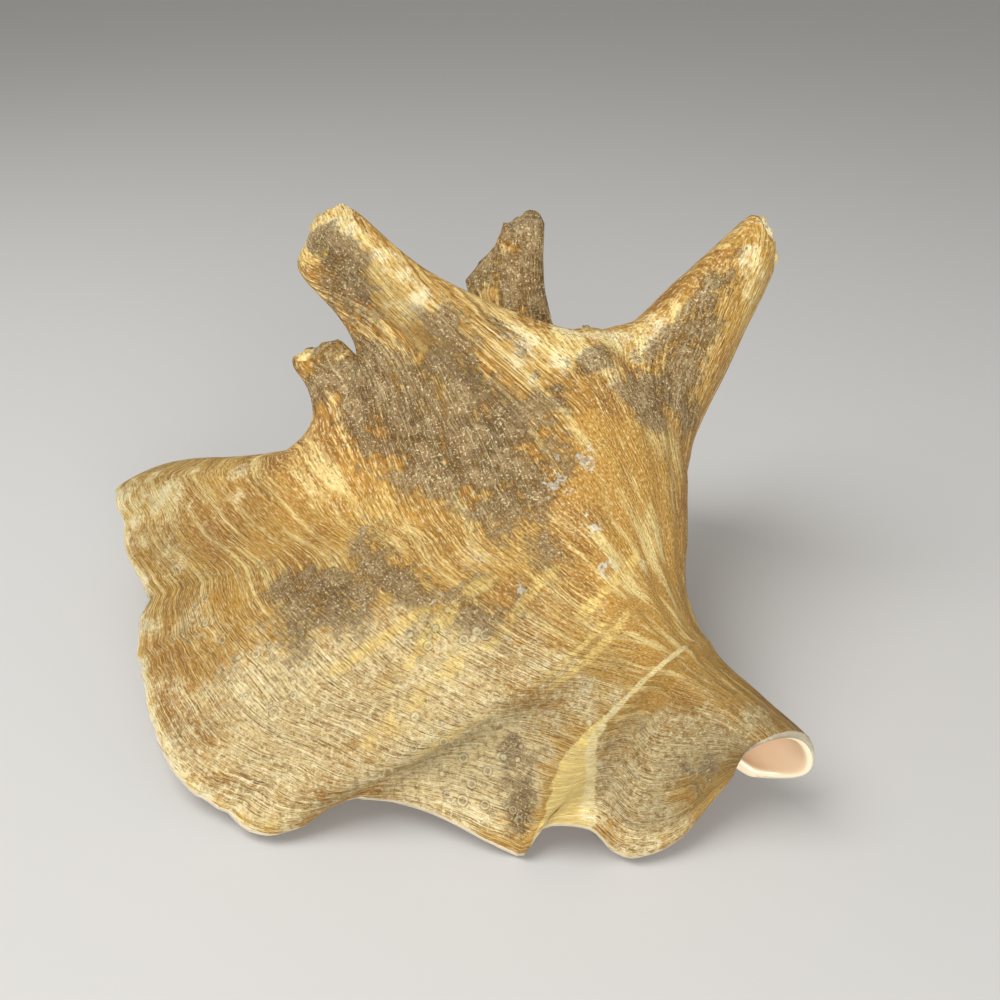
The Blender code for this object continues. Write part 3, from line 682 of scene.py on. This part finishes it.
def zip_edges(ob, column, row, outer_count, inner_at, last_row):
    """Close the open sides of the folded grid: suture, canal rim and the deep end."""
    index = {(c, r): i for i, (c, r) in enumerate(zip(column.tolist(), row.tolist()))}
    bm = bmesh.new()
    bm.from_mesh(ob.data)
    bm.verts.ensure_lookup_table()
    for r in (0, last_row):
        for k in range(len(inner_at) - 1):
            high, low = inner_at[k], inner_at[k + 1]
            ring = [index[c, r] for c in range(low, high + 1)]
            ring += [index[outer_count + k, r], index[outer_count + k + 1, r]]
            if len(set(ring)) > 2:
                bm.faces.new([bm.verts[i] for i in ring])
    final = outer_count + len(inner_at) - 1
    for r in range(last_row):
        bm.faces.new([bm.verts[index[key]] for key in ((0, r), (final, r), (final, r + 1), (0, r + 1))])
    bm.normal_update()
    bmesh.ops.recalc_face_normals(bm, faces=bm.faces)
    bm.to_mesh(ob.data)
    bm.free()


def old_whorls():
    """The filled older whorls of the spire, closed back along the axis."""
    turns = spaced(TURN_START, TURN_OPEN + 1.0, OLD_COLUMNS, lambda t: 0.25 + np.gradient(growth_mm(t), t))
    ob, column, row = flat_grid('spire', OLD_COLUMNS, OLD_ROWS + AXIS_ROWS)
    turn = turns[column]
    across = np.clip(row / (OLD_ROWS - 1), 0, 1) ** 0.9 * SECTION_SHARE
    point, out, spine = skin(turn, across)
    inside = np.zeros(len(turn), bool)
    masks = surface_masks(point, out, turn, across, spine, inside)
    masks["rim"] = np.zeros(len(turn))
    point = point + out * relief(point, turn, across, spine, masks)[:, None]
    back = np.clip((row - OLD_ROWS + 1) / AXIS_ROWS, 0, 1)[:, None]
    top = coil(turn, np.zeros_like(turn))
    foot = coil(turn, np.full_like(turn, SECTION_SHARE))
    closing = (foot * (1 - back) + top * back) * (1 - (1 - np.abs(2 * back - 1)) * np.array([1, 1, 0]))
    point = np.where(back > 0, closing, point)
    set_points(ob, point)
    return ob, turn, across, masks


def close_old_whorls(ob):
    bpy.context.view_layer.objects.active = ob
    bpy.ops.object.mode_set(mode='EDIT')
    bpy.ops.mesh.select_all(action='SELECT')
    bpy.ops.mesh.remove_doubles(threshold=0.005)
    bpy.ops.mesh.select_all(action='SELECT')
    bpy.ops.mesh.fill_holes(sides=0)
    bpy.ops.mesh.select_all(action='SELECT')
    bpy.ops.mesh.normals_make_consistent(inside=False)
    bpy.ops.object.mode_set(mode='OBJECT')


def keep_values(ob, turn, across, masks):
    """Store the growth coordinates as a UV map and the masks as attributes."""
    me = ob.data
    corner = np.empty(len(me.loops), np.int32)
    me.loops.foreach_get('vertex_index', corner)
    layer = me.uv_layers.new(name='growth') if 'growth' not in me.uv_layers else me.uv_layers['growth']
    pair = np.stack([growth_line(turn, across), across * ACROSS_LENGTH], -1) / UV_UNIT
    layer.data.foreach_set('uv', pair[corner].astype(np.float32).ravel())
    for name, value in masks.items():
        kept = me.attributes.new(name, 'FLOAT', 'POINT')
        kept.data.foreach_set('value', np.asarray(value, np.float32))


# Material
class Mixer:
    """Short names for the nodes of one material."""

    def __init__(self, name):
        self.mat = bpy.data.materials.new(name)
        self.mat.use_nodes = True
        self.tree = self.mat.node_tree
        self.shader = self.tree.nodes['Principled BSDF']

    def node(self, kind, **settings):
        n = self.tree.nodes.new(kind)
        for key, value in settings.items():
            setattr(n, key, value)
        return n

    def feed(self, socket, value):
        if isinstance(value, bpy.types.NodeSocket):
            self.tree.links.new(value, socket)
        elif value is not None:
            socket.default_value = value

    def math(self, operation, a, b=None, c=None):
        n = self.node('ShaderNodeMath', operation=operation)
        for socket, value in zip(n.inputs, (a, b, c)):
            self.feed(socket, value)
        return n.outputs[0]

    def times(self, a, b):
        return self.math('MULTIPLY', a, b)

    def shaken(self, value, noise, amount):
        """The value moved up and down by a noise."""
        return self.math('MULTIPLY_ADD', self.math('SUBTRACT', noise, 0.5), amount, value)

    def step(self, value, low, high, out_low=0.0, out_high=1.0):
        n = self.node('ShaderNodeMapRange', interpolation_type='SMOOTHSTEP')
        for socket, v in zip(n.inputs, (value, low, high, out_low, out_high)):
            self.feed(socket, v)
        return n.outputs[0]

    def mix(self, share, a, b):
        n = self.node('ShaderNodeMix', data_type='RGBA')
        self.feed(n.inputs[0], share)
        self.feed(n.inputs[6], a)
        self.feed(n.inputs[7], b)
        return n.outputs[2]

    def value(self, name):
        return self.node('ShaderNodeAttribute', attribute_name=name).outputs['Fac']

    def noise(self, coords, scale, detail=2.0, roughness=0.5):
        n = self.node('ShaderNodeTexNoise')
        self.feed(n.inputs['Vector'], coords)
        self.feed(n.inputs['Scale'], scale)
        self.feed(n.inputs['Detail'], detail)
        self.feed(n.inputs['Roughness'], roughness)
        return n.outputs[0]

    def stretched(self, coords, x, y):
        n = self.node('ShaderNodeMapping')
        self.feed(n.inputs['Vector'], coords)
        n.inputs['Scale'].default_value = (x, y, 1.0)
        return n.outputs[0]

    def bump(self, height, distance, strength=1.0):
        n = self.node('ShaderNodeBump')
        self.feed(n.inputs['Height'], height)
        self.feed(n.inputs['Distance'], distance)
        self.feed(n.inputs['Strength'], strength)
        return n.outputs[0]


def shell_material(tint):
    """Weathered shell outside, glazed mouth inside."""
    m = Mixer('conch shell')
    room = m.node('ShaderNodeTexCoord').outputs['Object']
    grown = m.node('ShaderNodeUVMap', uv_map='growth').outputs['UV']
    glaze = m.value('glaze')

    # growth coordinates that waver a little
    wander = m.noise(room, 60.0, 3.0, 0.6)
    comb = m.node('ShaderNodeCombineXYZ')
    m.feed(comb.inputs[0], m.times(m.math('SUBTRACT', wander, 0.5), 0.016))
    moved = m.node('ShaderNodeVectorMath', operation='ADD')
    m.feed(moved.inputs[0], grown)
    m.feed(moved.inputs[1], comb.outputs[0])
    grown = moved.outputs[0]

    # growth lines, then clouds and grains
    lines, thread, fine, broad = (
        m.noise(m.stretched(grown, x, y), 1.0, detail, rough) for x, y, detail, rough in GROWTH_NOISES)
    cloud, blot, grit, speck = (m.noise(room, *how) for how in ROOM_NOISES)

    def ragged(mask, low, high, amount):
        """A mask stepped from low to high, its edge broken up by two noises."""
        return m.step(m.shaken(m.shaken(mask, blot, amount), grit, amount), low, high)

    def laid(base, *layers):
        """Colours laid over the base by noises: noise, its start and full value, colour, most it covers."""
        for noise, low, high, colour, most in layers:
            colour = tint(colour) if isinstance(colour, str) else colour
            base = m.mix(m.step(noise, low, high, 0.0, most), base, colour)
        return base

    # amber body with cream growth lines
    straw = laid(tint('straw'), (broad, 0.46, 0.60, 'cream', 1.0))
    amber = laid(
        tint('amber'), (cloud, 0.36, 0.62, 'gold', 1.0), (broad, 0.50, 0.70, 'cream', 0.5),
        (lines, 0.48, 0.34, 'brown', 0.6), (lines, 0.54, 0.66, straw, 0.85), (thread, 0.54, 0.64, straw, 0.8),
        (thread, 0.46, 0.38, 'brown', 0.7))
    # smooth honey-coloured places
    honey = laid(
        tint('honey'), (lines, 0.40, 0.60, 'gold', 1.0), (broad, 0.50, 0.64, 'cream', 0.8),
        (thread, 0.46, 0.34, 'brown', 0.5))
    # dull, crackled places
    dull = laid(
        tint('beige'), (cloud, 0.38, 0.62, 'pale', 1.0), (lines, 0.48, 0.34, 'umber', 0.5),
        (thread, 0.48, 0.36, 'umber', 0.9), (thread, 0.52, 0.64, 'bone', 0.9),
        (grit, 0.52, 0.64, 'bone', 0.7), (grit, 0.46, 0.36, 'umber', 0.6))
    # crust
    crusty = laid(
        tint('dark'), (blot, 0.38, 0.60, 'grey', 1.0), (cloud, 0.50, 0.36, 'dark', 0.6),
        (grit, 0.48, 0.38, 'dark', 0.7), (speck, 0.56, 0.66, 'pale', 0.5), (thread, 0.55, 0.66, 'bone', 0.25))
    # cream places, worn bars, yellow panel and the ridge beside it
    creamy = laid(tint('gold'), (lines, 0.40, 0.60, 'cream', 1.0), (blot, 0.45, 0.62, 'bone', 0.7))
    golden = laid(tint('gold'), (lines, 0.36, 0.56, 'yellow', 1.0), (thread, 0.46, 0.38, 'brown', 0.5))
    yellow = laid(tint('straw'), (broad, 0.42, 0.56, 'yellow', 1.0), (lines, 0.50, 0.62, 'cream', 0.9))
    ridge = laid(tint('yellow'), (lines, 0.40, 0.60, 'bone', 1.0))

    # the finishes laid over each other by their masks; the cream mask is partly painted light on the left
    # wing of the lip
    pale = m.times(ragged(m.shaken(m.value('pale'), cloud, 1.6), 0.25, 0.95, 1.2), 0.9)
    patchy = m.shaken(m.value('crust'), m.noise(room, 60.0, 4.0, 0.7), 3.6)
    crust = ragged(m.math('MINIMUM', patchy, m.times(m.value('crust'), 2.2)), 0.25, 1.0, 1.3)
    bars = m.times(ragged(m.value('bars'), 0.15, 0.75, 1.1), m.step(cloud, 0.36, 0.52, 0.4, 0.8))
    body = amber
    for mask, colour in (
            (pale, dull), (ragged(m.value('gold'), 0.38, 0.70, 0.8), honey),
            (ragged(m.value('cream'), 0.40, 0.72, 0.8), creamy), (m.times(crust, 0.92), crusty),
            (bars, golden), (ragged(m.value('panel'), 0.35, 0.60, 0.6), yellow),
            (ragged(m.value('band'), 0.40, 0.75, 0.7), ridge)):
        body = m.mix(mask, body, colour)
    # fine cracks, threads and glinting grains over all of it
    cracks = m.times(m.step(fine, 0.47, 0.36), m.math('MULTIPLY_ADD', m.value('panel'), -0.45, 0.75))
    threads = m.times(m.step(fine, 0.53, 0.64), m.math('MULTIPLY_ADD', crust, -0.35, 0.55))
    rough_places = m.math('MAXIMUM', crust, m.step(m.value('pale'), 0.2, 1.0, 0.0, 0.8))
    glint = m.times(m.times(m.step(speck, 0.60, 0.66), rough_places), 0.55)
    for mask, name in ((cracks, 'umber'), (threads, 'bone'), (glint, 'bone')):
        body = m.mix(mask, body, tint(name))

    # ring scars
    cells = m.node('ShaderNodeTexVoronoi', feature='F1')
    m.feed(cells.inputs['Vector'], room)
    cells.inputs['Scale'].default_value = SCAR_CELLS
    pick = m.node('ShaderNodeSeparateColor')
    m.feed(pick.inputs[0], cells.outputs['Color'])
    scarred = m.times(m.step(pick.outputs[0], 0.30, 0.35), m.step(cloud, 0.50, 0.60))
    scarred = m.times(scarred, m.step(m.value('pale'), 0.0, 0.5, 0.15, 1.0))
    scarred = m.times(scarred, m.math('SUBTRACT', 1.0, glaze))
    away = m.math('DIVIDE', cells.outputs['Distance'], m.math('MULTIPLY_ADD', pick.outputs[1], 0.8, 0.6))
    hollow = m.times(m.step(away, 0.23, 0.16), scarred)
    shade = m.times(m.times(m.step(away, 0.28, 0.33), m.step(away, 0.40, 0.35)), scarred)
    ring = m.times(m.times(m.step(away, 0.17, 0.23), m.step(away, 0.33, 0.26)), scarred)
    for mask, amount, name in ((hollow, 0.55, 'grey'), (shade, 0.35, 'dark'), (ring, 0.5, 'bone')):
        body = m.mix(m.times(mask, amount), body, tint(name))

    # chalky crumbs, lip edge
    chalk = m.times(ragged(m.value('white'), 0.55, 1.0, 2.2), 0.8)
    body = m.mix(chalk, body, m.mix(m.step(grit, 0.42, 0.54), tint('grey'), tint('white')))
    body = m.mix(ragged(m.value('rim'), 0.45, 0.7, 0.5), body, tint('edge'))

    # glaze of the mouth
    inside = m.mix(m.value('deep'), tint('ivory'), tint('pink'))
    inside = m.mix(m.step(cloud, 0.4, 0.65, 0.0, 0.25), inside, tint('ivory'))
    inside = m.mix(m.value('rim'), inside, tint('edge'))
    m.feed(m.shader.inputs['Base Color'], m.mix(glaze, body, inside))
    m.shader.inputs['Specular IOR Level'].default_value = 0.2
    m.shader.inputs['Coat Roughness'].default_value = 0.18
    m.feed(m.shader.inputs['Coat Weight'], m.times(glaze, 0.7))
    rough = m.math('MULTIPLY_ADD', crust, 0.2, 0.6)
    m.feed(m.shader.inputs['Roughness'], m.step(glaze, 0.0, 1.0, rough, 0.24))
    # relief too fine for the mesh, outside only
    height = m.math('MULTIPLY_ADD', lines, 0.6, m.times(thread, 0.6))
    height = m.math('MULTIPLY_ADD', fine, 0.25, height)
    height = m.math('ADD', m.times(grit, m.math('MULTIPLY_ADD', crust, 0.9, 0.25)), height)
    height = m.math('MULTIPLY_ADD', ring, 0.35, height)
    height = m.times(height, m.math('SUBTRACT', 1.0, glaze))
    m.feed(m.shader.inputs['Normal'], m.bump(height, FINE_RELIEF))
    return m.mat


def plain_material(name, colour, roughness):
    m = Mixer(name)
    room = m.node('ShaderNodeTexCoord').outputs['Object']
    m.shader.inputs['Base Color'].default_value = colour
    m.shader.inputs['Roughness'].default_value = roughness
    m.feed(m.shader.inputs['Normal'], m.bump(m.noise(room, 300.0, 2.0), 0.0002, 0.1))
    return m.mat


# Settings, operators and panel
class ConchSizes(bpy.types.PropertyGroup):
    wall: bpy.props.FloatProperty(
        name="Wall", description="Thickness of the shell wall", default=0.004, min=0.001, unit='LENGTH')
    lip_wall: bpy.props.FloatProperty(
        name="Lip Wall", description="Thickness of the wall at the lip edge", default=0.0026, min=0.0005,
        unit='LENGTH')


def colour_setting(name, description, colour):
    return bpy.props.FloatVectorProperty(
        name=name, description=description, size=4, subtype='COLOR', min=0, max=1, default=colour + (1.0,))


class ConchColours(bpy.types.PropertyGroup):
    amber: colour_setting("Amber", "Deep colour between the growth lines", (0.40, 0.185, 0.030))
    gold: colour_setting("Gold", "Middle colour of the body", (0.56, 0.310, 0.056))
    straw: colour_setting("Straw", "Growth lines of the amber places", (0.84, 0.59, 0.20))
    honey: colour_setting("Honey", "Smooth, saturated places", (0.55, 0.28, 0.05))
    yellow: colour_setting("Yellow", "Worn yellow bars and panel", (1.0, 0.74, 0.24))
    cream: colour_setting("Cream", "Growth lines and saddle", (0.95, 0.75, 0.31))
    brown: colour_setting("Brown", "Dark growth lines", (0.25, 0.115, 0.022))
    beige: colour_setting("Beige", "Darker parts of the dull places", (0.60, 0.41, 0.165))
    pale: colour_setting("Pale", "Lighter parts of the dull places", (0.82, 0.62, 0.29))
    umber: colour_setting("Umber", "Fine cracks of the dull places", (0.20, 0.11, 0.035))
    bone: colour_setting("Bone", "Light threads and grains", (0.98, 0.87, 0.54))
    dark: colour_setting("Crust Dark", "Dark grains of the crust", (0.115, 0.068, 0.029))
    grey: colour_setting("Crust Grey", "Light grains of the crust", (0.37, 0.245, 0.118))
    white: colour_setting("White", "Chalky crumbs", (0.80, 0.75, 0.60))
    edge: colour_setting("Edge", "Lip edge", (0.84, 0.73, 0.52))
    ivory: colour_setting("Ivory", "Glaze near the lip edge", (0.74, 0.56, 0.34))
    pink: colour_setting("Pink", "Glaze deep in the mouth", (0.70, 0.31, 0.21))


class ConchStage(bpy.types.PropertyGroup):
    floor: colour_setting("Floor", "Colour of the floor", (0.62, 0.61, 0.59))
    key_power: bpy.props.FloatProperty(
        name="Key Light", description="Power of the soft light overhead", default=8.5, min=0, unit='POWER')
    fill_power: bpy.props.FloatProperty(
        name="Fill Light", description="Power of the soft light in front", default=12.0, min=0, unit='POWER')
    sky: bpy.props.FloatProperty(
        name="Surrounding Light", description="Brightness of the light from all round", default=0.36, min=0)
    camera_place: bpy.props.FloatVectorProperty(
        name="Camera", description="Place of the camera", default=(0.02375, -0.3244, 0.2622), subtype='XYZ',
        unit='LENGTH')
    camera_tilt: bpy.props.FloatProperty(
        name="Camera Tilt", description="Angle of the camera up from straight down", default=math.radians(59),
        unit='ROTATION')
    camera_lens: bpy.props.FloatProperty(
        name="Lens", description="Focal length in millimetres on a 36 mm wide sensor", default=39.6, min=1)


class CONCH_OT_shell(bpy.types.Operator):
    """Build the shell with its spines, flared lip and glazed mouth"""
    bl_idname = "conch.shell"
    bl_label = "Shell"
    bl_options = {'REGISTER', 'UNDO'}

    def execute(self, context):
        colours = context.scene.conch_colours
        wall, *wall_values = wall_piece()
        keep_values(wall, *wall_values)
        spire, *spire_values = old_whorls()
        keep_values(spire, *spire_values)
        close_old_whorls(spire)
        bpy.ops.object.select_all(action='DESELECT')
        spire.select_set(True)
        wall.select_set(True)
        context.view_layer.objects.active = wall
        bpy.ops.object.join()
        ob = context.object
        ob.data.transform(room_matrix())
        bpy.ops.object.shade_smooth()
        ob.data.materials.clear()
        ob.data.materials.append(shell_material(lambda name: tuple(getattr(colours, name))))
        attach(ob, "root")
        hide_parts("shell")
        return {'FINISHED'}


class CONCH_OT_stage(bpy.types.Operator):
    """Add the floor, the soft lights and the camera"""
    bl_idname = "conch.stage"
    bl_label = "Stage"
    bl_options = {'REGISTER', 'UNDO'}

    def area(self, name, place, aim, size, power):
        bpy.ops.object.light_add(type='AREA', location=place)
        lamp = bpy.context.object
        lamp.name = name
        lamp.data.shape = 'DISK'
        lamp.data.size = size
        lamp.data.energy = power
        lamp.rotation_euler = (Vector(aim) - Vector(place)).to_track_quat('-Z', 'Y').to_euler()

    def execute(self, context):
        stage = context.scene.conch_stage
        bpy.ops.object.select_all(action='DESELECT')
        bpy.ops.mesh.primitive_plane_add(size=6)
        floor = context.object
        floor.name = 'floor'
        floor.data.materials.append(plain_material('floor', tuple(stage.floor), 0.7))
        self.area('key', (-0.45, -0.15, 1.0), (0, 0, 0.05), 0.9, stage.key_power)
        self.area('fill', (0.25, -1.2, 0.40), (0, 0, 0.05), 0.8, stage.fill_power)
        world = bpy.data.worlds.new('surround')
        world.use_nodes = True
        sky = world.node_tree.nodes['Background']
        sky.inputs['Color'].default_value = (1.0, 0.98, 0.95, 1)
        sky.inputs['Strength'].default_value = stage.sky
        context.scene.world = world
        context.scene.view_settings.view_transform = 'Standard'
        bpy.ops.object.camera_add(location=stage.camera_place, rotation=(stage.camera_tilt, 0, 0))
        camera = context.object
        camera.name = 'photo_camera'
        camera.data.lens = stage.camera_lens
        camera.data.sensor_width = 36
        camera.data.clip_start = 0.01
        context.scene.camera = camera
        return {'FINISHED'}


class CONCH_PT_panel(bpy.types.Panel):
    """Settings of the conch shell"""
    bl_idname = "CONCH_PT_panel"
    bl_label = "Conch Shell"
    bl_space_type = 'VIEW_3D'
    bl_region_type = 'UI'
    bl_category = "Conch"

    def draw(self, context):
        layout = self.layout
        for group, operator in (
                (context.scene.conch_sizes, None), (context.scene.conch_colours, "conch.shell"),
                (context.scene.conch_stage, "conch.stage")):
            box = layout.box()
            for name in type(group).__annotations__:
                box.prop(group, name)
            if operator:
                box.operator(operator)


CLASSES = (ConchSizes, ConchColours, ConchStage, CONCH_OT_shell, CONCH_OT_stage, CONCH_PT_panel)


def register():
    for cls in CLASSES:
        bpy.utils.register_class(cls)
    bpy.types.Scene.conch_sizes = bpy.props.PointerProperty(type=ConchSizes)
    bpy.types.Scene.conch_colours = bpy.props.PointerProperty(type=ConchColours)
    bpy.types.Scene.conch_stage = bpy.props.PointerProperty(type=ConchStage)


def unregister():
    del bpy.types.Scene.conch_stage
    del bpy.types.Scene.conch_colours
    del bpy.types.Scene.conch_sizes
    for cls in reversed(CLASSES):
        bpy.utils.unregister_class(cls)


def main():
    register()
    bpy.ops.conch.shell()
    bpy.ops.conch.stage()


if __name__ == "__main__":
    main()
